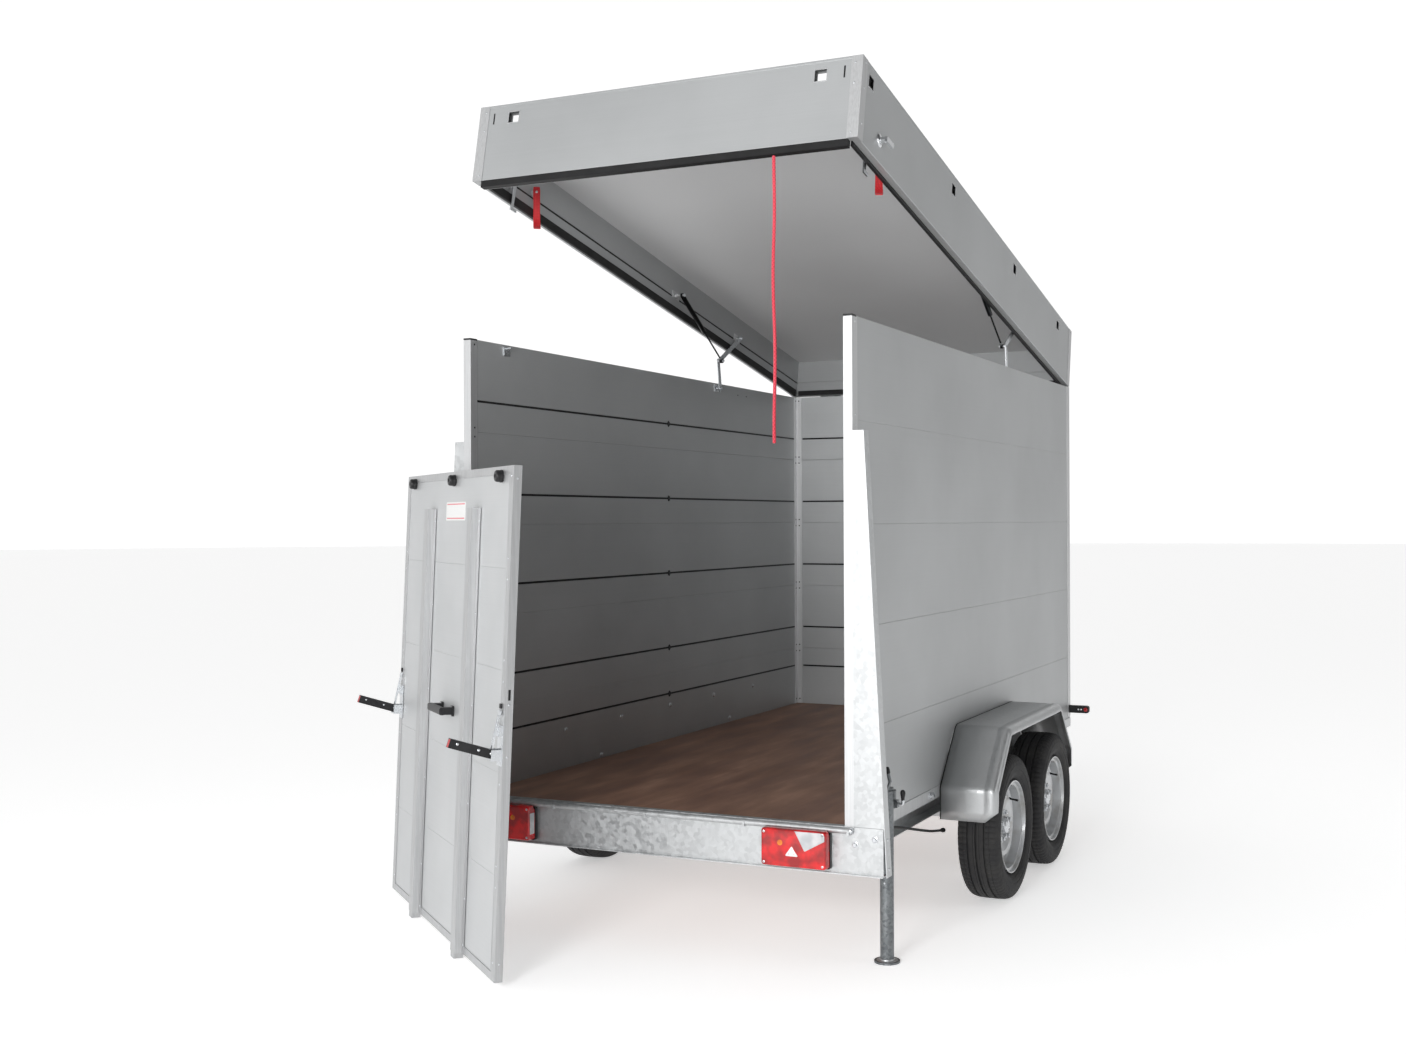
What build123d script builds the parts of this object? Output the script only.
from build123d import *
import os
from math import asin, atan2, cos, degrees, pi, radians, sin, tan

# Tandem livestock trailer with high aluminium walls, a hinged lid and a lift-off tailgate.
# It is laid out in a deck frame: X to the right, Y forwards to the drawbar, Z up, with the floor's
# top at Z 0 and the rear face at Y 0. Every part is then moved so that the origin is the centre
# of the tow ball. Sizes are in millimetres and angles in degrees.

# Driving dimensions of the body
INNER_WIDTH = 1510
INNER_LENGTH = 3010
WALL = 28
SKIN = 1.5
BOARD_HEIGHT = 350
BOARD_COUNT = 5
WALL_FOOT = -40
FLOOR_THICKNESS = 18
GROUND = -494
BALL_HEIGHT = 430
BALL_AHEAD = 1330
BALL_RADIUS = 25.3

# Driving dimensions of the lid and its stays
LID_HEIGHT = 300
LID_ANGLE = 11.3
LID_GAP = 3
ROOF_UNDER = 197
ROOF_SHEET = 2.5
STAY_WALL_PIVOT = (2056, 1685)
STAY_JOINT = (2034, 1819)
STAY_LID_PIVOT = (826, 85)
STRUT_LID_PIVOT = (1497, 85)

# Driving dimensions of the running gear
TYRE_RADIUS = 287
TYRE_WIDTH = 172
RIM_RADIUS = 182.5
RIM_WIDTH = 142
WHEEL_X = 927
AXLE_Y = (1200, 1860)
AXLE_Z = -207
ARM_LENGTH = 150
BEAM_RAISE = 31
PROP_X = 832
PROP_Y = 188
PROP_RADIUS = 24

# Driving dimensions of the tailgate, which stands on the ground and leans on the left rear corner
GATE_WIDTH = 1434
GATE_HEIGHT = 1683
GATE_THICKNESS = 28
GATE_LEAN = 2.5
GATE_HEEL = (-230.4, -603.4)
GATE_TURN = 141.8
GATE_FOOT = 20

FIT = 0.05
GAP = 0.3

# Worked out from the driving dimensions
HALF_IN = INNER_WIDTH / 2
HALF_OUT = HALF_IN + WALL
LENGTH = INNER_LENGTH + 2 * WALL
WALL_TOP = WALL_FOOT + BOARD_COUNT * BOARD_HEIGHT
HINGE_Y = LENGTH + 4
HINGE_Z = WALL_TOP + 1.5
LID_FOOT = WALL_TOP + LID_GAP
BALL = (0, LENGTH + BALL_AHEAD, GROUND + BALL_HEIGHT)

os.makedirs("parts", exist_ok=True)


def save(name, *solids):
    shape = solids[0] if len(solids) == 1 else Compound(children=list(solids))
    export_step(Pos(-BALL[0], -BALL[1], -BALL[2]) * shape, f"parts/{name}.step")


def block(x, y, z):
    """A box from its three (low, high) pairs."""
    middle = Pos((x[0] + x[1]) / 2, (y[0] + y[1]) / 2, (z[0] + z[1]) / 2)
    return middle * Box(x[1] - x[0], y[1] - y[0], z[1] - z[0])


def rod(radius, start, end):
    """A round bar between two points."""
    a, b = Vector(*start), Vector(*end)
    return extrude(Plane(origin=a, z_dir=b - a) * Circle(radius), (b - a).length)


def along_x(outline, low, high):
    """Extrude a sketch drawn in (Y, Z) from X low to X high."""
    return Pos(low, 0, 0) * extrude(Plane.YZ * outline, high - low)


def along_y(outline, low, high):
    """Extrude a sketch drawn in (X, Z) from Y low to Y high."""
    return Pos(0, high, 0) * extrude(Plane.XZ * outline, high - low)


def rect(x0, x1, y0, y1):
    return Pos((x0 + x1) / 2, (y0 + y1) / 2) * Rectangle(x1 - x0, y1 - y0)


def shape_of(*points):
    return make_face(Polyline(*points, close=True))


def pair(solid):
    """The right-hand solid and its left-hand mirror image."""
    return [solid, mirror(solid, Plane.YZ)]


def on_right(x, y, z):
    """The right-hand box and its left-hand mirror image."""
    return pair(block(x, y, z))


# Wall boards: hollow extrusions with one lashing groove in their inner face

GROOVE_UP = 118
FOOT_GROOVE_UP = 251
GROOVE_WIDTH = 9
GROOVE_DEPTH = 6
SEAM_NOTCH = 2


def board_section(height, groove_up, webs):
    """Section of one board: its thickness from 0, the inner face, to WALL, and its height from 0."""
    low, high = groove_up - GROOVE_WIDTH / 2, groove_up + GROOVE_WIDTH / 2
    section = rect(0, WALL, 0, height)
    section -= rect(0, GROOVE_DEPTH, low, high)
    section -= rect(GROOVE_DEPTH + SKIN, WALL - SKIN, low, high)
    section -= rect(SKIN, WALL - SKIN, SKIN, low - SKIN)
    edges = [high + SKIN]
    for web in webs:
        edges += [web, web + SKIN]
    edges.append(height - SKIN)
    for bottom, top in zip(edges[0::2], edges[1::2]):
        section -= rect(SKIN, WALL - SKIN, bottom, top)
    for face in (0, WALL):
        for edge in (0, height):
            section -= Pos(face, edge) * Rectangle(SEAM_NOTCH, SEAM_NOTCH, rotation=45)
    return section


WALL_SECTION = board_section(BOARD_HEIGHT, GROOVE_UP, (234,))
FOOT_SECTION = board_section(BOARD_HEIGHT, FOOT_GROOVE_UP, (126,))
BOARD_FEET = [WALL_FOOT + BOARD_HEIGHT * row for row in range(BOARD_COUNT)]
BEAM_FLANGE = 26
POST_SKIN = 2
POST_OUTER_FLANGE = 48
POST_INNER_FLANGE = 40


def right_wall():
    """Boards from rear to front; the lowest is notched where it stands on the sill beam."""
    lowest = Pos(HALF_IN, 0, WALL_FOOT) * along_y(FOOT_SECTION, POST_SKIN, LENGTH)
    board = Pos(HALF_IN, 0, 0) * along_y(WALL_SECTION, POST_SKIN, LENGTH)
    boards = [lowest] + [Pos(0, 0, foot) * board for foot in BOARD_FEET[1:]]
    boards[0] -= block((HALF_IN - 1, HALF_OUT + 1), (0, BEAM_FLANGE), (WALL_FOOT - 1, 0))
    return boards


def front_wall():
    lowest = Pos(0, LENGTH - WALL, WALL_FOOT) * along_x(FOOT_SECTION, -HALF_IN, HALF_IN)
    board = Pos(0, LENGTH - WALL, 0) * along_x(WALL_SECTION, -HALF_IN, HALF_IN)
    return [lowest] + [Pos(0, 0, foot) * board for foot in BOARD_FEET[1:]]


def corner_posts():
    """Channels over the rear edges, and angles inside and outside the front corners."""
    face = HALF_OUT + POST_SKIN
    inside = HALF_IN - POST_SKIN
    rear = rect(inside, face, 0, POST_SKIN)
    rear += rect(HALF_OUT, face, 0, POST_OUTER_FLANGE)
    rear += rect(inside, HALF_IN, 0, POST_INNER_FLANGE)
    outer = rect(HALF_OUT, face, LENGTH - 50, LENGTH + POST_SKIN)
    outer += rect(HALF_OUT - 50, face, LENGTH, LENGTH + POST_SKIN)
    front = LENGTH - WALL
    inner = rect(inside, HALF_IN, front - 32, front)
    inner += rect(HALF_IN - 32, HALF_IN, front - POST_SKIN, front)
    posts = []
    for section in (rear, outer, inner):
        posts += pair(extrude(section, WALL_TOP))
    return posts


# Wedge-shaped gussets that stiffen the rear posts on the sill beam

GUSSET_TOP = 1323
GUSSET_TOP_X = 825
GUSSET_FOOT_X = 903
BEAM_DEPTH = 160
BEAM_HALF = 890
BEAM_SKIN = 4


def gussets():
    slope = (GUSSET_TOP_X - GUSSET_FOOT_X) / (GUSSET_TOP + BEAM_DEPTH)
    deck_x = GUSSET_FOOT_X + slope * BEAM_DEPTH
    skin = 3
    start = HALF_OUT + POST_SKIN
    outline = shape_of((start, 1), (deck_x, 1), (GUSSET_TOP_X, GUSSET_TOP), (start, GUSSET_TOP))
    plate = along_y(outline, 0, skin)
    strip = shape_of(
        (GUSSET_FOOT_X - skin, -BEAM_DEPTH),
        (GUSSET_FOOT_X, -BEAM_DEPTH),
        (GUSSET_TOP_X, GUSSET_TOP),
        (GUSSET_TOP_X - skin, GUSSET_TOP),
    )
    plate += along_y(strip, 0, 45)
    plate += block((start, start + skin), (0, 40), (1, GUSSET_TOP))
    return pair(plate)


# Chassis

RAIL_X = (690, 740)
RAIL_DEPTH = 120
DECK_UNDER = -FLOOR_THICKNESS
CROSS_Y = (480, 960, 1530, 2100, 2580)
DRAWBAR_HALF = (640, 95)
DRAWBAR_SECTION = (60, 80, 4)
DRAWBAR_END = BALL[1] - 480
HEAD_PLATE_Y = (BALL[1] - 610, BALL[1] - 490)


def rear_beam():
    """Folded sill beam: an upright web, a top flange under the floor's edge and a bottom lip."""
    section = rect(0, BEAM_SKIN, -BEAM_DEPTH, 0)
    section += rect(0, BEAM_FLANGE, -BEAM_SKIN, 0)
    section += rect(-9, 40, -BEAM_DEPTH, -BEAM_DEPTH + BEAM_SKIN)
    return along_x(section, -BEAM_HALF, BEAM_HALF)


def channel(width, height, skin):
    """A C section with its back at 0 and its flanges towards +X."""
    section = rect(0, width, 0, height)
    section -= rect(skin, width, skin, height - skin)
    return section


def chassis_frame():
    front_y = LENGTH - WALL - 30
    back = along_y(channel(RAIL_X[1] - RAIL_X[0], RAIL_DEPTH, 3), BEAM_SKIN + 36, front_y)
    solids = pair(Pos(RAIL_X[0], 0, DECK_UNDER - RAIL_DEPTH) * back)
    cross = along_x(channel(40, 60, 3), -RAIL_X[0], RAIL_X[0])
    solids += [Pos(0, y, DECK_UNDER - 60) * cross for y in CROSS_Y]
    front = along_x(channel(28, RAIL_DEPTH, 4), -RAIL_X[1], RAIL_X[1])
    solids.append(Pos(0, front_y, DECK_UNDER - RAIL_DEPTH) * front)
    solids.append(block((-128, 128), HEAD_PLATE_Y, (DECK_UNDER - RAIL_DEPTH, BALL[2] - 52)))
    return solids + pair(drawbar_beam())


def drawbar_beam():
    """One leg of the V, from under the front cross member to the coupling's housing."""
    width, height, skin = DRAWBAR_SECTION
    level = DECK_UNDER - RAIL_DEPTH - height / 2
    start = Vector(DRAWBAR_HALF[0], LENGTH - 420, level)
    end = Vector(DRAWBAR_HALF[1], DRAWBAR_END, level)
    run = end - start
    plane = Plane(origin=start, x_dir=(0, 0, 1), z_dir=run)
    tube = Rectangle(height, width) - Rectangle(height - 2 * skin, width - 2 * skin)
    return extrude(plane * tube, run.length)


def base_rails():
    """Angles that close the boards' feet along the sides and front."""
    foot, top, skin = -52, -8, 3
    side = rect(HALF_OUT, HALF_OUT + skin, foot, top)
    side += rect(RAIL_X[1] + 2, HALF_OUT + skin, WALL_FOOT - skin, WALL_FOOT)
    front = block((-HALF_OUT, HALF_OUT), (LENGTH, LENGTH + skin), (foot, top))
    return pair(along_y(side, BEAM_SKIN + 2, LENGTH - 1)) + [front]


def floor_panel():
    """Film-faced plywood, cut to drop between the corner posts' inner flanges."""
    side = HALF_IN - POST_SKIN - GAP
    return block((-side, side), (BEAM_FLANGE, LENGTH - WALL - POST_SKIN - GAP), (DECK_UNDER, 0))


SILL_RADIUS = 10
SILL_Y = -SILL_RADIUS - GAP
SILL_Z = -12
SILL_LUG_X = (-772, -386, 0, 386, 772)


def sill_rod():
    """Hinge bar that the tailgate hooks over, with its welded lugs."""
    bar = rod(SILL_RADIUS, (-779, SILL_Y, SILL_Z), (779, SILL_Y, SILL_Z))
    for x in SILL_LUG_X:
        bar += block((x - 4, x + 4), (SILL_Y - 13, 0), (SILL_Z - 13, SILL_Z + 4))
    return bar


# Lamps

LAMP_X = (463, 706)
LAMP_Z = (-146, -13)
LAMP_BODY = 14
LAMP_DEPTH = 52


def lamp(x, y, z, radius):
    solid = block(x, y, z)
    return fillet(solid.edges().filter_by(Axis.Y), radius)


def rod_room():
    """Notch along the lamps' upper back edge, where the sill rod passes."""
    reach = SILL_RADIUS + 4
    return block((0, BEAM_HALF), (SILL_Y - reach, 1), (SILL_Z - reach, 0))


def lamp_bodies():
    return pair(lamp(LAMP_X, (-LAMP_BODY, 0), LAMP_Z, 8) - rod_room())


def lamp_lenses():
    x = (LAMP_X[0] + 3, LAMP_X[1] - 3)
    z = (LAMP_Z[0] + 3, LAMP_Z[1] - 3)
    solid = lamp(x, (-LAMP_DEPTH, -LAMP_BODY), z, 8)
    front = solid.faces().sort_by(Axis.Y)[0]
    return pair(fillet(front.edges(), 6) - rod_room())


def marker_lamps():
    """Rubber arms at the front corners, each with a lamp at its tip."""
    x, y, z = (HALF_OUT + POST_SKIN, HALF_OUT + 105), (LENGTH - 30, LENGTH - 6), (20, 58)
    arm = block(x, y, z)
    arm = fillet(arm.edges().filter_by(Axis.Y).group_by(Axis.X)[-1], 12)
    return pair(arm)


# Mudguards over both wheels of a side

FENDER_X = (HALF_OUT + 3 + GAP, 1014)
FENDER_TOP = 203
FENDER_SKIN = 2
FENDER_MIDDLE = (AXLE_Y[0] + AXLE_Y[1]) / 2
FENDER_HALF = 626
FENDER_FOOT = -140
FENDER_LIP = 34


def fender_path(inset):
    """Outline of the mudguard's skin in (Y, Z), moved inwards by inset."""
    half = FENDER_HALF - inset
    knee = (half, -15)
    crown = (half - 205, FENDER_TOP - inset)
    points = [(-half, FENDER_FOOT), (-knee[0], knee[1]), (-crown[0], crown[1])]
    points += [(-x, z) for x, z in reversed(points)]
    points = [(FENDER_MIDDLE + y, z) for y, z in points]
    radii = [60 - inset, 110 - inset, 110 - inset, 60 - inset]
    return points, radii


def fender_face(inset):
    points, radii = fender_path(inset)
    path = FilletPolyline(*points, radius=radii)
    return make_face(Curve() + path + Line(points[-1], points[0]))


def fenders():
    outer, inner = fender_face(0), fender_face(FENDER_SKIN)
    shell = along_x(outer, *FENDER_X) - along_x(inner, FENDER_X[0] - 1, FENDER_X[1] - FENDER_SKIN)
    lip = along_x(fender_face(FENDER_LIP), FENDER_X[1] - 40, FENDER_X[1] + 1)
    floor_cut = block((700, 1100), (0, LENGTH), (FENDER_FOOT - 60, FENDER_FOOT + 0.01))
    solid = shell - lip - floor_cut
    return pair(solid)


# Axles, arms and wheels

ARM_TILT = degrees(asin(BEAM_RAISE / ARM_LENGTH))
ARM_REACH = ARM_LENGTH * cos(radians(ARM_TILT))
BEAM_Z = AXLE_Z + BEAM_RAISE
BEAM_HALF_SIDE = 38
BEAM_BORE = 27
ARM_X = (790, 806)


def beam_y(axle):
    return AXLE_Y[axle] + ARM_REACH


def axle_beams():
    """Square torsion tubes; the arms' stub shafts turn in their round ends."""
    section = Rectangle(2 * BEAM_HALF_SIDE, 2 * BEAM_HALF_SIDE) - Circle(BEAM_BORE)
    solids = []
    for axle in range(len(AXLE_Y)):
        place = Pos(0, beam_y(axle), BEAM_Z)
        solids.append(place * along_x(section, -ARM_X[0] + 2, ARM_X[0] - 2))
    return solids


def swing_arms(axle):
    """Both trailing arms of one axle, joined by the torsion bar, with brake drums on their spindles."""
    wheel, hub = (AXLE_Y[axle], AXLE_Z), (beam_y(axle), BEAM_Z)
    web = Pos(*wheel) * Circle(30) + Pos(*hub) * Circle(38)
    web += shape_of(
        (wheel[0], wheel[1] - 28), (hub[0], hub[1] - 36), (hub[0], hub[1] + 36), (wheel[0], wheel[1] + 28)
    )
    arm = along_x(web, *ARM_X)
    arm += rod(15, (ARM_X[1], *wheel), (WHEEL_X - 8, *wheel))
    both = pair(arm)
    bar = rod(BEAM_BORE - FIT, (-ARM_X[0], *hub), (ARM_X[0], *hub))
    return both[0] + bar + both[1]


def wheel_rim(wheel, side):
    """A pressed steel wheel with its brake drum bolted behind it, as two solids."""
    half, bead, well = RIM_WIDTH / 2, RIM_RADIUS - 14, RIM_RADIUS - 34
    skin = 4
    outer = [(-half, RIM_RADIUS), (-half + 12, RIM_RADIUS - 2), (-half + 14, bead), (-30, bead - 3)]
    outer += [(-18, well), (10, well), (24, bead - 3), (half - 14, bead), (half - 12, RIM_RADIUS - 2)]
    outer += [(half, RIM_RADIUS)]
    inner = [(x, r - skin) for x, r in reversed(outer)]
    barrel = revolve(Plane.XY * shape_of(*outer, *inner), Axis.X)
    disc = [(18, 34), (20, 74), (34, 100), (36, 118), (22, 138), (8, well - skin + 1)]
    disc += [(2, well - skin + 1), (14, 132), (28, 114), (27, 102), (13, 76), (12, 34)]
    web = revolve(Plane.XY * shape_of(*disc), Axis.X)
    for spot in range(8):
        turn = radians(45 * spot)
        at = (126 * cos(turn), 126 * sin(turn))
        web -= rod(11, (-4, *at), (60, *at))
    rim = barrel + web
    for bolt in range(5):
        turn = radians(72 * bolt + 18)
        at = (56 * cos(turn), 56 * sin(turn))
        rim += rod(9.5, (17, *at), (32, *at))
    cap = revolve(Plane.XY * shape_of((10, 0), (10, 31), (36, 31), (42, 26), (42, 0)), Axis.X)
    drum = revolve(Plane.XY * shape_of((-78, 15 + FIT), (-78, 122), (-12, 122), (-12, 60), (9, 60),
                                       (9, 15 + FIT)), Axis.X)
    solids = [rim + cap, drum]
    place = Pos(WHEEL_X, *wheel)
    solids = [place * solid for solid in solids]
    return solids if side > 0 else [mirror(solid, Plane.YZ) for solid in solids]


def tyre(wheel, side):
    """A hollow tyre: round shoulders, a flat tread with four ribs, and beads on the rim."""
    half, bead = TYRE_WIDTH / 2, RIM_RADIUS - 13
    outer = [(-56, bead), (-56, bead + 15), (-68, bead + 22), (-half, bead + 64)]
    outer += [(-half + 4, TYRE_RADIUS - 26)]
    outer += [(-half + 20, TYRE_RADIUS - 4), (-50, TYRE_RADIUS)]
    grooves = []
    for x in (-34, 0, 34):
        grooves += [(x - 4, TYRE_RADIUS), (x - 3, TYRE_RADIUS - 7), (x + 3, TYRE_RADIUS - 7)]
        grooves += [(x + 4, TYRE_RADIUS)]
    outer += grooves + [(-x, r) for x, r in reversed(outer)]
    inner = [(44, bead), (44, bead + 20), (60, bead + 34), (half - 11, bead + 64), (half - 14, TYRE_RADIUS - 30)]
    inner += [(half - 30, TYRE_RADIUS - 15)]
    inner += [(-x, r) for x, r in reversed(inner)]
    solid = revolve(Plane.XY * shape_of(*outer, *inner), Axis.X)
    solid = Pos(WHEEL_X, *wheel) * solid
    return solid if side > 0 else mirror(solid, Plane.YZ)


# Prop stands at the rear corners

PROP_TOP = 105
PROP_PAD_RADIUS = 45
PROP_BAND_Z = (38, 96)
PROP_CRANK_Z = 52


def prop_stand():
    tube = rod(PROP_RADIUS, (PROP_X, PROP_Y, GROUND + 5), (PROP_X, PROP_Y, PROP_TOP))
    tube -= rod(PROP_RADIUS - 3, (PROP_X, PROP_Y, GROUND + 6), (PROP_X, PROP_Y, PROP_TOP - 4))
    pad = rod(PROP_PAD_RADIUS, (PROP_X, PROP_Y, GROUND), (PROP_X, PROP_Y, GROUND + 7))
    return tube + pad


def prop_clamp():
    """A band round the tube, its bolted plate on the wall, and the boss for the clamp screw."""
    low, high = PROP_BAND_Z
    band = rod(PROP_RADIUS + 9, (PROP_X, PROP_Y, low), (PROP_X, PROP_Y, high))
    band += block((HALF_OUT + 4, PROP_X), (PROP_Y - 18, PROP_Y + 18), (low, high))
    band += block((PROP_X, PROP_X + 42), (PROP_Y - 12, PROP_Y + 12), (low + 2, low + 26))
    band += block((HALF_OUT, HALF_OUT + 5), (PROP_Y - 50, PROP_Y + 50), (low - 22, high + 20))
    band -= rod(PROP_RADIUS + GAP, (PROP_X, PROP_Y, low - 1), (PROP_X, PROP_Y, high + 1))
    screw = ((PROP_X + 27, PROP_Y, PROP_CRANK_Z), (PROP_X + 60, PROP_Y, PROP_CRANK_Z))
    band -= rod(6 + FIT, *screw)
    beside = PROP_Y - PROP_RADIUS - 6
    lever = rod(5, (PROP_X + 9, beside, high - 8), (PROP_X + 24, beside, high + 36))
    lever += rod(6, (PROP_X + 24, beside, high + 34), (PROP_X + 14, beside, high + 76))
    return band + lever


def prop_crank():
    """The clamp screw with its bent handle and grip."""
    x, y, z = PROP_X, PROP_Y, PROP_CRANK_Z
    crank = rod(6, (x + 28, y, z), (x + 60, y, z))
    crank += rod(8, (x + 60, y, z - 7), (x + 60, y, z + 40))
    return crank + Pos(x + 60, y, z + 40) * Sphere(8)


# Coupling, handbrake and jockey wheel on the drawbar

SHAFT_RADIUS = 25
NOSE_END = -228
HEAD_BACK = -150
HOUSING_FRONT = -330
HOUSING_BACK = -610


def towards_ball(dx, dy, dz):
    return (BALL[0] + dx, BALL[1] + dy, BALL[2] + dz)


def overrun_housing():
    """The cast housing that the drawbar legs bolt to; the coupling's shaft slides in it."""
    low, high = HOUSING_BACK, HOUSING_FRONT
    y = (BALL[1] + low, BALL[1] + high)
    z = BALL[2]
    body = block((-45, 45), y, (z - 42, z + 42))
    body = fillet(body.edges().filter_by(Axis.Y), 14)
    body += rod(36, towards_ball(0, high, 0), towards_ball(0, NOSE_END, 0))
    body += block((-64, 64), (y[0] + 10, y[1] - 60), (z - 52, z - 40))
    body += block((46, 58), (y[0] + 60, y[0] + 150), (z - 40, z + 88))
    body += block((40, 50), (y[0] + 60, y[0] + 150), (z - 40, z + 30))
    body -= rod(SHAFT_RADIUS + FIT, towards_ball(0, low + 60, 0), towards_ball(0, NOSE_END + 1, 0))
    return body


def coupling_head():
    """Ball coupling on its sliding shaft, with the socket open downwards."""
    z = BALL[2]
    head = rod(39, towards_ball(0, 0, -16), towards_ball(0, 0, 34))
    head = fillet(head.edges().group_by(Axis.Z)[-1], 14)
    head += block((-32, 32), (BALL[1] + HEAD_BACK, BALL[1]), (z - 14, z + 30))
    head += rod(SHAFT_RADIUS + 8, towards_ball(0, HEAD_BACK - 20, 0), towards_ball(0, HEAD_BACK + 40, 0))
    head += rod(SHAFT_RADIUS, towards_ball(0, HOUSING_BACK + 150, 0), towards_ball(0, HEAD_BACK, 0))
    head -= rod(BALL_RADIUS, towards_ball(0, 0, -20), towards_ball(0, 0, 2))
    head -= Pos(*towards_ball(0, 0, 2)) * Sphere(BALL_RADIUS)
    ears = block((-20, 20), (BALL[1] - 120, BALL[1] - 84), (z + 28, z + 52))
    head += ears - block((-12, 12), (BALL[1] - 121, BALL[1] - 83), (z + 30, z + 53))
    pin_line = ((-21, BALL[1] - 102, z + 42), (21, BALL[1] - 102, z + 42))
    return head - rod(5 + FIT, *pin_line)


def shaft_gaiter():
    """Rubber bellows between the coupling head and the housing's nose."""
    start, end = NOSE_END - 16, HEAD_BACK - 20
    folds = 5
    pitch = (end - start) / folds
    outer, inner = [], []
    for fold in range(folds):
        at = start + pitch * fold
        outer += [(at, 42), (at + pitch / 2, 50)]
        inner += [(at, 38), (at + pitch / 2, 46)]
    outer.append((end, 42))
    inner.append((end, 38))
    points = [(radius, along) for along, radius in outer + inner[::-1]]
    return Pos(*BALL) * revolve(Plane.XY * shape_of(*points), Axis.Y)


def coupling_handle():
    """Lever over the ball coupling, turning on its cross pin."""
    z, pin_y = BALL[2] + 42, BALL[1] - 102
    lever = rod(5, (-28, pin_y, z), (28, pin_y, z))
    lever += block((-11.5, 11.5), (pin_y - 9, pin_y + 9), (z - 8, z + 20))
    lever += block((-11.5, 11.5), (pin_y - 9, pin_y + 96), (z + 12, z + 20))
    grip = block((-16, 16), (pin_y + 50, pin_y + 150), (z + 10, z + 24))
    grip = fillet(grip.edges().filter_by(Axis.Y), 5)
    return lever + grip


BRAKE_PIVOT_Y = BALL[1] + HOUSING_BACK + 105
BRAKE_PIVOT_Z = BALL[2] + 62


def handbrake_lever():
    """Parking brake lever beside the housing, with its grip."""
    y, z = BRAKE_PIVOT_Y, BRAKE_PIVOT_Z
    foot = rod(24, (59, y, z), (65, y, z)) + rod(7, (65, y, z), (72, y, z))
    arm = along_x(shape_of((y - 14, z), (y + 14, z), (y + 262, z + 88), (y + 258, z + 104)), 59, 65)
    grip = rod(13, (62, y + 250, z + 92), (62, y + 372, z + 128))
    return foot + arm + fillet(grip.edges().filter_by(GeomType.CIRCLE), 5)


# Jockey wheel

JOCKEY_X = -118
JOCKEY_Y = BALL[1] - 360
JOCKEY_WHEEL_RADIUS = 100
JOCKEY_TRAIL = 45
JOCKEY_TOP = BALL[2] + 215
JOCKEY_FOOT = BALL[2] - 130


def jockey_tube():
    """Outer tube, held to the housing by its clamp plate."""
    x, y = JOCKEY_X, JOCKEY_Y
    tube = rod(24, (x, y, JOCKEY_FOOT), (x, y, JOCKEY_TOP))
    tube += rod(33, (x, y, BALL[2] - 34), (x, y, BALL[2] + 34))
    tube += block((x, -45), (y - 20, y + 20), (BALL[2] - 30, BALL[2] + 30))
    tube -= rod(20.5, (x, y, JOCKEY_FOOT - 1), (x, y, JOCKEY_TOP - 4))
    return tube - rod(6 + FIT, (x, y, JOCKEY_TOP - 10), (x, y, JOCKEY_TOP + 1))


def jockey_stem():
    """Inner tube with the fork and its axle pin."""
    x, y, axle = JOCKEY_X, JOCKEY_Y, GROUND + JOCKEY_WHEEL_RADIUS
    wheel_y = y - JOCKEY_TRAIL
    top = axle + JOCKEY_WHEEL_RADIUS + 12
    stem = rod(20.5 - FIT, (x, y, top), (x, y, BALL[2] + 60))
    fork = block((x - 34, x + 34), (wheel_y - 24, y + 22), (top, top + 6))
    for side in (-1, 1):
        low, high = sorted((x + side * 34, x + side * 29))
        cheek = shape_of((y + 22, top + 3), (wheel_y - 24, top + 3), (wheel_y - 18, axle - 16),
                         (wheel_y + 18, axle - 16))
        fork += along_x(cheek, low, high)
    return stem + fork + rod(8, (x - 40, wheel_y, axle), (x + 40, wheel_y, axle))


def jockey_wheel():
    centre = (JOCKEY_X, JOCKEY_Y - JOCKEY_TRAIL, GROUND + JOCKEY_WHEEL_RADIUS)
    profile = [(-26, 8 + FIT), (-26, 30), (-10, 36), (-10, 72), (-24, 76), (-24, 92), (-16, 100)]
    profile += [(-x, r) for x, r in reversed(profile)]
    return Pos(*centre) * revolve(Plane.XY * shape_of(*profile), Axis.X)


def jockey_crank():
    """Crank on top of the jockey's screw."""
    x, y, z = JOCKEY_X, JOCKEY_Y, JOCKEY_TOP
    crank = rod(6, (x, y, z - 9), (x, y, z + 16))
    crank += block((x - 9, x + 9), (y - 9, y + 110), (z + 8, z + 16))
    return crank + rod(9, (x, y + 100, z + 16), (x, y + 100, z + 86))


# Lid, built closed on the walls and then turned about its front hinge

LID_SECTION = board_section(LID_HEIGHT, 75, (190,))
LID_HOLE = (45, 42)
LID_SIDE_HOLES = (91, 1035, 1960, 2780)
LID_SEAL = 12


def opened(shape, angle=LID_ANGLE):
    """Turn a lid part, built closed, about the hinge line."""
    return Pos(0, HINGE_Y, HINGE_Z) * Rot(-angle, 0, 0) * Pos(0, -HINGE_Y, -HINGE_Z) * shape


def lid_point(along, up):
    """The (Y, Z) of a closed lid point, from the hinge backwards and from the lid's foot up."""
    return HINGE_Y - along, LID_FOOT + up


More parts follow.
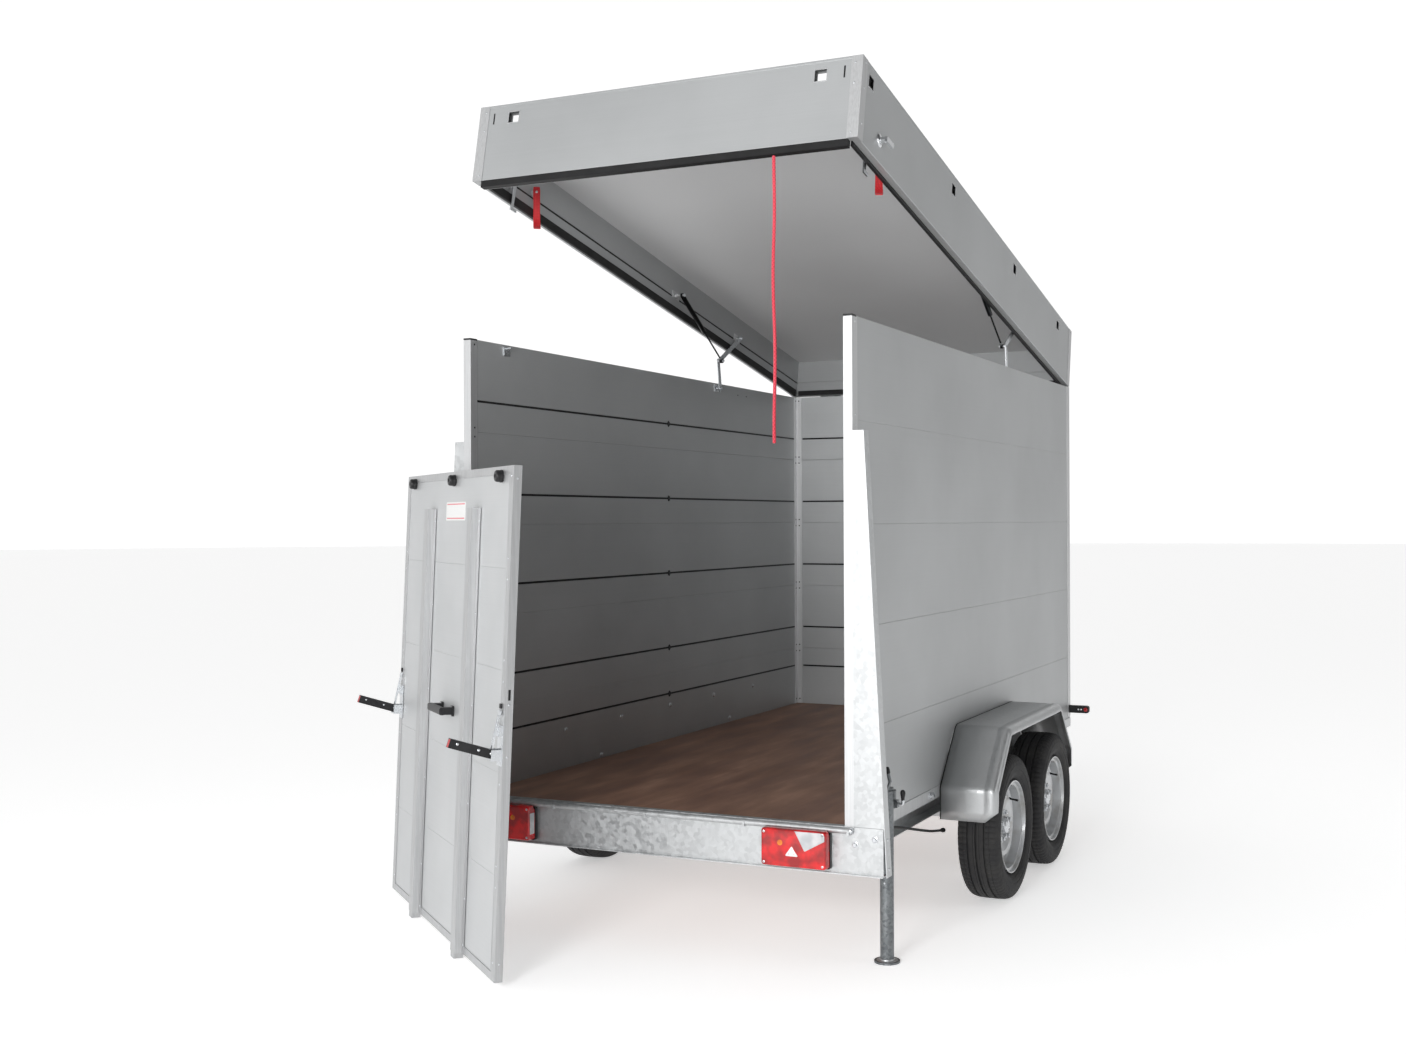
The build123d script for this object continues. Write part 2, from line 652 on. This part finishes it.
def lid_boards():
    wide, tall = LID_HOLE[0] / 2, LID_HOLE[1] / 2
    side = Pos(HALF_IN, 0, LID_FOOT) * along_y(LID_SECTION, 0, LENGTH)
    for back in LID_SIDE_HOLES:
        middle = LID_FOOT + 240
        side -= block((700, 900), (back - wide, back + wide), (middle - tall, middle + tall))
    front = Pos(0, LENGTH - WALL, LID_FOOT) * along_x(LID_SECTION, -HALF_IN, HALF_IN)
    rear = Pos(0, WALL, LID_FOOT) * Rot(0, 0, 180) * along_x(LID_SECTION, -HALF_IN, HALF_IN)
    middle = LID_FOOT + 244
    for x in (-630, 630):
        rear -= block((x - wide, x + wide), (-10, 60), (middle - tall, middle + tall))
    return pair(side) + [front, rear]


def lid_roof():
    """Roof sheet with its edges turned up against the boards."""
    low, high = LID_FOOT + ROOF_UNDER, LID_FOOT + ROOF_UNDER + ROOF_SHEET
    y = (WALL, LENGTH - WALL)
    sheet = block((-HALF_IN, HALF_IN), y, (low, high))
    for solid in on_right((HALF_IN - ROOF_SHEET, HALF_IN), y, (low, high + 18)):
        sheet += solid
    sheet += block((-HALF_IN, HALF_IN), (y[0], y[0] + ROOF_SHEET), (low, high + 18))
    return sheet + block((-HALF_IN, HALF_IN), (y[1] - ROOF_SHEET, y[1]), (low, high + 18))


STUD_RADIUS = 6
ARM_PLANES = {"lower": (736, 740), "upper": (731, 735), "strut": (709, 729)}


def stay_bracket(y, z, stud_end):
    """Riveted plate on an inner face, with a stud for an arm's eye."""
    plate = block((HALF_IN - 3, HALF_IN), (y - 34, y + 34), (z - 17, z + 17))
    boss = rod(10, (ARM_PLANES["lower"][1] + 1, y, z), (HALF_IN - 3, y, z))
    return plate + boss + rod(STUD_RADIUS, (stud_end, y, z), (HALF_IN - 3, y, z))


KNUCKLE_RADIUS = 3.7
HINGE_PIN_RADIUS = 1.8
HINGE_HALF = 60
HINGE_X = (-560, 0, 560)


def hinge_half(x, up):
    """Leaf and knuckles of one lid hinge at X: the wall's half for up -1, the lid's for up 1."""
    middle = 20
    lean = 4.5
    knuckles = [(x - middle, x + middle)]
    if up < 0:
        knuckles = [(x - HINGE_HALF, x - middle - GAP), (x + middle + GAP, x + HINGE_HALF)]
    leaf_z = sorted((HINGE_Z + up * lean, HINGE_Z + up * 30))
    half = block((x - HINGE_HALF, x + HINGE_HALF), (LENGTH, LENGTH + SKIN), leaf_z)
    for low, high in knuckles:
        half += rod(KNUCKLE_RADIUS, (low, HINGE_Y, HINGE_Z), (high, HINGE_Y, HINGE_Z))
        half += block((low, high), (LENGTH, LENGTH + SKIN), sorted((HINGE_Z, HINGE_Z + up * 5)))
    ends = ((x - HINGE_HALF, HINGE_Y, HINGE_Z), (x + HINGE_HALF, HINGE_Y, HINGE_Z))
    if up < 0:
        return half + rod(HINGE_PIN_RADIUS, *ends)
    return half - rod(HINGE_PIN_RADIUS + FIT, *ends)


def lid_corners():
    """Corner angles of the lid, the lid halves of its hinges and the stays' four brackets."""
    face = HALF_OUT + POST_SKIN
    solids = []
    for y, inward in ((0, 1), (LENGTH, -1)):
        end = sorted((y, y + inward * 46))
        skin = sorted((y, y - inward * POST_SKIN))
        section = rect(HALF_OUT, face, min(end[0], skin[0]), max(end[1], skin[1]))
        section += rect(HALF_OUT - 40, face, *skin)
        solids += pair(Pos(0, 0, LID_FOOT) * extrude(section, LID_HEIGHT))
    solids += pair(stay_bracket(*lid_point(*STAY_LID_PIVOT), ARM_PLANES["upper"][0] - 3))
    solids += [hinge_half(x, 1) for x in HINGE_X]
    return solids + pair(stay_bracket(*lid_point(*STRUT_LID_PIVOT), ARM_PLANES["strut"][0]))


def lid_seal():
    """Rubber lips inside the side boards and a deeper one under the rear board."""
    z = (LID_FOOT - 10, LID_FOOT + 26)
    # the side lips stop short of the corner posts' inner flanges, which the lid passes as it shuts
    solids = on_right((HALF_IN - LID_SEAL, HALF_IN - 0.01), (WALL + 14, LENGTH - 63), z)
    rear = block((-HALF_IN + 8, HALF_IN - 8), (3, WALL - 1), (LID_FOOT - 26, LID_FOOT))
    front = block((-HALF_IN + 14, HALF_IN - 14), (LENGTH - WALL - 10, LENGTH - WALL), (LID_FOOT + 1, LID_FOOT + 26))
    return solids + [rear, front]


STRAP_BACK = 2736
STRAP_UP = 112
STRAP_DROP = 172


def lid_straps():
    """Two pull-down straps, hung straight down from the opened lid's side boards."""
    y, z = strap_top()
    x = HALF_IN - LID_SEAL - 9
    strap = block((x - 6, x), (y - 14, y + 14), (z - STRAP_DROP, z))
    strap = fillet(strap.edges().filter_by(Axis.X), 7)
    washer = rod(9, (x, y, z - 20), (HALF_IN, y, z - 20))
    return pair(strap + washer)


def turned_point(y, z, angle=LID_ANGLE):
    """A closed lid's (Y, Z) point where the opened lid has it."""
    back, up = HINGE_Y - y, z - HINGE_Z
    c, s = cos(radians(angle)), sin(radians(angle))
    return HINGE_Y - back * c + up * s, HINGE_Z + back * s + up * c


def strap_top():
    return turned_point(*lid_point(STRAP_BACK, STRAP_UP))


LATCH_BACK = 199
LATCH_UP = 76


def lid_latches():
    """Both latch spindles on one line: a chromed handle outside and a hook inside each."""
    y, z = LATCH_BACK, LID_FOOT + LATCH_UP
    spindle = rod(7, (HALF_IN - 22, y, z), (HALF_OUT + 34, y, z))
    handle = rod(11, (HALF_OUT + 1, y, z), (HALF_OUT + 24, y, z))
    handle += block((HALF_OUT + 24, HALF_OUT + 34), (y - 9, y + 58), (z - 9, z + 9))
    hook = shape_of((y - 12, z + 14), (y - 12, z - 118), (y + 26, z - 118), (y + 26, z - 106), (y + 4, z - 106),
                    (y + 12, z + 14))
    hook = along_x(hook, HALF_IN - 22, HALF_IN - 16)
    return pair(spindle + handle + hook)


def latch_hole():
    y, z = LATCH_BACK, LID_FOOT + LATCH_UP
    return rod(7 + FIT, (HALF_IN - 30, y, z), (HALF_OUT + 40, y, z))


def wall_fittings():
    """Stay brackets, latch strikers, hinge halves and eyes: steel hardware fixed to the walls."""
    solids = pair(stay_bracket(*STAY_WALL_PIVOT, ARM_PLANES["lower"][0] - 1))
    y, z = LATCH_BACK + 34, LID_FOOT + LATCH_UP - 93
    striker = rod(5, (HALF_IN - 26, y, z), (HALF_IN - 5, y, z))
    striker += block((HALF_IN - 5, HALF_IN), (y - 20, y + 20), (z - 30, z + 5))
    solids += pair(striker)
    eye = rod(11, (HALF_OUT + 4, 805, -30), (HALF_OUT + 14, 805, -30))
    eye -= rod(5, (HALF_OUT + 3, 805, -30), (HALF_OUT + 15, 805, -30))
    eye += block((HALF_OUT + 3, HALF_OUT + 6), (776, 804), (-42, -18))
    return solids + pair(eye) + [hinge_half(x, -1) for x in HINGE_X]


# Stays: lower arm from the wall, upper arm from the lid, and a gas strut from the lid

def eye_bar(start, end, planes, width, open_eye=0):
    """Flat bar between two (Y, Z) pivots, with a running fit on its start stud."""
    a, b = Vector(*start), Vector(*end)
    middle, run = (a + b) * 0.5, b - a
    turn = degrees(atan2(run.Y, run.X))
    face = Pos(middle.X, middle.Y) * Rot(0, 0, turn) * SlotCenterToCenter(run.length, width)
    bar = along_x(face, *planes)
    bar -= rod(STUD_RADIUS + FIT, (planes[0] - 1, *start), (planes[1] + 1, *start))
    if open_eye:
        bar -= rod(open_eye, (planes[0] - 1, *end), (planes[1] + 1, *end))
    return bar


def stay_lower_arms():
    return pair(eye_bar(STAY_WALL_PIVOT, STAY_JOINT, ARM_PLANES["lower"], 26, 5))


def stay_upper_arms():
    return pair(eye_bar(turned_point(*lid_point(*STAY_LID_PIVOT)), STAY_JOINT, ARM_PLANES["upper"], 24, 5))


def strut_line():
    start = Vector(*turned_point(*lid_point(*STRUT_LID_PIVOT)))
    end = Vector(*STAY_JOINT)
    return start, end, (end - start).normalized()


STRUT_TUBE_RADIUS = 11
STRUT_ROD_RADIUS = 4
STRUT_X = sum(ARM_PLANES["strut"]) / 2


def gas_strut_tubes():
    start, end, way = strut_line()
    eye = eye_bar((start.X, start.Y), tuple(start + way * 24)[:2], (STRUT_X - 5, STRUT_X + 5), 20)
    first, last = start + way * 18, start + way * 272
    tube = rod(STRUT_TUBE_RADIUS, (STRUT_X, first.X, first.Y), (STRUT_X, last.X, last.Y))
    bore = start + way * 32
    tube -= rod(STRUT_ROD_RADIUS + FIT, (STRUT_X, bore.X, bore.Y), (STRUT_X, last.X, last.Y))
    return pair(tube + eye)


def gas_strut_rods():
    start, end, way = strut_line()
    first, last = start + way * 150, end - way * 10
    bar = rod(STRUT_ROD_RADIUS, (STRUT_X, first.X, first.Y), (STRUT_X, last.X, last.Y))
    eye = rod(11, (STRUT_X - 6, end.X, end.Y), (STRUT_X + 6, end.X, end.Y))
    eye -= rod(5, (STRUT_X - 7, end.X, end.Y), (STRUT_X + 7, end.X, end.Y))
    return pair(bar + eye)


# Tailgate, drawn flat: X along its width from the near corner, Y out of the outer face, Z up it

GATE_RIB_AT = (0.29, 0.71)
GATE_RIB = (105, 56, 26)
GATE_RIB_TOP = 137
GATE_LATCH_UP = 735


def gate_place():
    """Where the flat tailgate goes: its heel on the ground, leaning on the corner post."""
    lift = GATE_FOOT * cos(radians(GATE_LEAN))
    heel = Pos(GATE_HEEL[0], GATE_HEEL[1], GROUND + lift)
    return heel * Rot(0, 0, GATE_TURN) * Rot(GATE_LEAN, 0, 0)


GATE = gate_place()


def gate_panel():
    """Hollow board panel inside its frame, with the seams of its boards."""
    inset = 4
    y = (-GATE_THICKNESS + 2, -2)
    panel = block((inset, GATE_WIDTH - inset), y, (inset, GATE_HEIGHT - inset))
    board = (GATE_HEIGHT - 2 * inset) / 5
    for row in range(5):
        low = inset + board * row
        for column in range(2):
            x = inset + (GATE_WIDTH - 2 * inset) * column / 2
            width = (GATE_WIDTH - 2 * inset) / 2
            room = ((x + 2, x + width - 2), (y[0] + SKIN, y[1] - SKIN), (low + 2, low + board - 2))
            panel -= block(*room)
        if row:
            panel -= Pos(GATE_WIDTH / 2, y[1], low) * Rot(45, 0, 0) * Box(GATE_WIDTH, 1.6, 1.6)
    return [GATE * panel]


def gate_frame():
    """Edge channels round the panel."""
    y = (-GATE_THICKNESS, 0)
    lap = 42
    outer = block((0, GATE_WIDTH), y, (0, GATE_HEIGHT))
    outer -= block((2, GATE_WIDTH - 2), (y[0] + 2, y[1] - 2), (2, GATE_HEIGHT - 2))
    window = block((lap, GATE_WIDTH - lap), (y[0] - 1, y[1] + 1), (26, GATE_HEIGHT - 26))
    return [GATE * (outer - window)]


def gate_ribs():
    """Hat-section stiffeners whose folded feet carry the tailgate."""
    base, crown, deep = GATE_RIB
    solids = []
    for share in GATE_RIB_AT:
        x = GATE_WIDTH * (1 - share)
        skin = 2
        hat = shape_of((-base / 2, 0), (-base / 2, skin), (-crown / 2 - 3, skin), (-crown / 2, deep),
                       (crown / 2, deep), (crown / 2 + 3, skin), (base / 2, skin), (base / 2, 0),
                       (crown / 2 + 1, 0), (crown / 2 - 2, deep - skin), (-crown / 2 + 2, deep - skin),
                       (-crown / 2 - 1, 0))
        rib = Pos(x, 0, 0) * extrude(hat, GATE_HEIGHT - GATE_RIB_TOP)
        rib += block((x - 20, x + 20), (-8, deep), (-GATE_FOOT, 0))
        solids.append(GATE * rib)
    return solids


def gate_bumpers():
    solids = []
    for share in (0.09, 0.5, 0.91):
        x, z = GATE_WIDTH * (1 - share), GATE_HEIGHT - 33
        bumper = rod(21, (x, 0, z), (x, 25, z))
        bumper = fillet(bumper.edges().filter_by(GeomType.CIRCLE).sort_by(Axis.Y)[-1], 8)
        solids.append(GATE * bumper)
    return solids


GRAB_UP = 812
GRAB_X = 700


def gate_grab():
    """Moulded grab handle in the middle of the outer face."""
    x, z = GRAB_X, GRAB_UP
    bar = block((x - 85, x + 85), (30, 52), (z - 14, z + 14))
    bar = fillet(bar.edges().filter_by(Axis.X), 8)
    for end in (-72, 72):
        bar += block((x + end - 12, x + end + 12), (0, 40), (z - 13, z + 13))
    return [GATE * bar]


LATCH_PIVOT_OUT = 20
LATCH_EDGE = 34
LATCH_LIFT = 16


def gate_latch_x(end):
    return LATCH_EDGE if end == 0 else GATE_WIDTH - LATCH_EDGE


def gate_latch(end):
    """Over-centre lever, standing out of the face, on its cross pin."""
    x, z = gate_latch_x(end), GATE_LATCH_UP
    lever = block((-13, 13), (0, 158), (-15, 15)) - block((-10, 10), (-1, 150), (-20, 9))
    lever = Pos(x, LATCH_PIVOT_OUT, z) * Rot(LATCH_LIFT, 0, 0) * lever
    lever += rod(4, (x - 17, LATCH_PIVOT_OUT + 6, z), (x + 17, LATCH_PIVOT_OUT + 6, z))
    return [GATE * lever]


def gate_fittings():
    """Latch brackets with their cheeks and links, on both edges."""
    solids = []
    for end in (0, 1):
        x, z = gate_latch_x(end), GATE_LATCH_UP
        bracket = block((x - 24, x + 24), (0, 3), (z - 36, z + 96))
        for low, high in ((x - 22, x - 18.5), (x + 18.5, x + 22)):
            bracket += block((low, high), (0, 36), (z - 18, z + 18))
        bracket += block((x - 22, x + 22), (3, 12), (z + 60, z + 92))
        solids.append(GATE * bracket)
    return solids


# Cords: the loom is clipped at both ends; the pull cord hangs free from the lid

def limp_path(points):
    """Straight runs joined by the largest tangent arcs that the runs allow."""
    corners = [Vector(*p) for p in points]
    radii = []
    for before, at, after in zip(corners, corners[1:], corners[2:]):
        turn = radians((at - before).get_angle(after - at))
        radii.append(0.45 * min((at - before).length, (after - at).length) / tan(turn / 2))
    return FilletPolyline(*[tuple(c) for c in corners], radius=radii), radii


def cord_tube(name, points, radius):
    path, radii = limp_path(points)
    start = Plane(origin=path @ 0, z_dir=path % 0)
    tube = sweep(start * Circle(radius), path=path)
    print(name, "length", round(path.length, 1), "radii", [round(r) for r in radii])
    print(name, "volume share", round(tube.volume / (path.length * pi * radius * radius), 4))
    return tube


LOOM_RADIUS = 5
LOOM_ROUTE = [(787, 210, -58), (790, 330, -62), (796, 440, -84), (800, 550, -110), (803, 660, -136),
              (806, 770, -160), (806, 880, -176)]
CORD_RADIUS = 6
CORD_ROUTE = [(470, 68, 2284), (470.6, 66.8, 2228), (471.8, 66.4, 2167), (472.2, 66.8, 2107),
              (471.4, 66.6, 2047), (469.4, 66, 1987), (467.6, 65.2, 1927), (466.9, 64.9, 1867),
              (467.4, 65.2, 1807), (469, 66, 1747), (471, 66.8, 1687), (472.3, 67.1, 1627),
              (472.6, 66.9, 1567), (471.8, 66.3, 1507), (470.2, 65.7, 1447), (468.9, 65.5, 1387),
              (468.5, 65.8, 1333), (468.8, 66.2, 1290)]


# Write every node

save("floor_panel", floor_panel())
walls = [pair(board) for board in right_wall()]
save("side_wall_right", *[boards[0] for boards in walls])
save("side_wall_left", *[boards[1] for boards in walls])
save("front_wall", *front_wall())
save("corner_posts", *corner_posts())
save("post_gussets", *gussets())
save("rear_beam", rear_beam())
save("chassis_frame", *chassis_frame())
save("base_rails", *base_rails())
save("sill_hinge_rod", sill_rod())
save("rear_lamp_bodies", *lamp_bodies())
save("rear_lamp_lenses", *lamp_lenses())
save("marker_lamp_arms", *marker_lamps())
save("mudguards", *fenders())
save("wall_fittings", *wall_fittings())
save("wiring_loom", cord_tube("loom", LOOM_ROUTE, LOOM_RADIUS))

save("axle_beams", *axle_beams())
for axle, label in enumerate(("rear", "front")):
    save(f"swing_arms_{label}", swing_arms(axle))
    for side, hand in ((-1, "left"), (1, "right")):
        centre = (AXLE_Y[axle], AXLE_Z)
        save(f"wheel_rim_{label}_{hand}", *wheel_rim(centre, side))
        save(f"tyre_{label}_{hand}", tyre(centre, side))

save("prop_clamps", *pair(prop_clamp()))
for name, solids in (("prop_stand", pair(prop_stand())), ("prop_crank", pair(prop_crank()))):
    save(f"{name}_right", solids[0])
    save(f"{name}_left", solids[1])

save("overrun_housing", overrun_housing())
save("coupling_head", coupling_head())
save("shaft_gaiter", shaft_gaiter())
save("coupling_handle", coupling_handle())
save("handbrake_lever", handbrake_lever())
save("jockey_tube", jockey_tube())
save("jockey_stem", jockey_stem())
save("jockey_wheel", jockey_wheel())
save("jockey_crank", jockey_crank())

hole = pair(latch_hole())
boards = [board - hole[0] - hole[1] for board in lid_boards()]
save("lid_boards", *[opened(board) for board in boards])
save("lid_roof", opened(lid_roof()))
save("lid_corners", *[opened(solid) for solid in lid_corners()])
save("lid_seal", *[opened(solid) for solid in lid_seal()])
save("lid_straps", *lid_straps())
save("lid_latches", *[opened(solid) for solid in lid_latches()])
save("stay_lower_arms", *stay_lower_arms())
save("stay_upper_arms", *stay_upper_arms())
save("gas_strut_tubes", *gas_strut_tubes())
save("gas_strut_rods", *gas_strut_rods())
save("pull_cord", cord_tube("pull cord", CORD_ROUTE, CORD_RADIUS))

save("tailgate_panel", *gate_panel())
save("tailgate_frame", *gate_frame())
save("tailgate_ribs", *gate_ribs())
save("tailgate_bumpers", *gate_bumpers())
save("tailgate_grab_handle", *gate_grab())
save("tailgate_latch_near", *gate_latch(0))
save("tailgate_latch_far", *gate_latch(1))
save("tailgate_fittings", *gate_fittings())
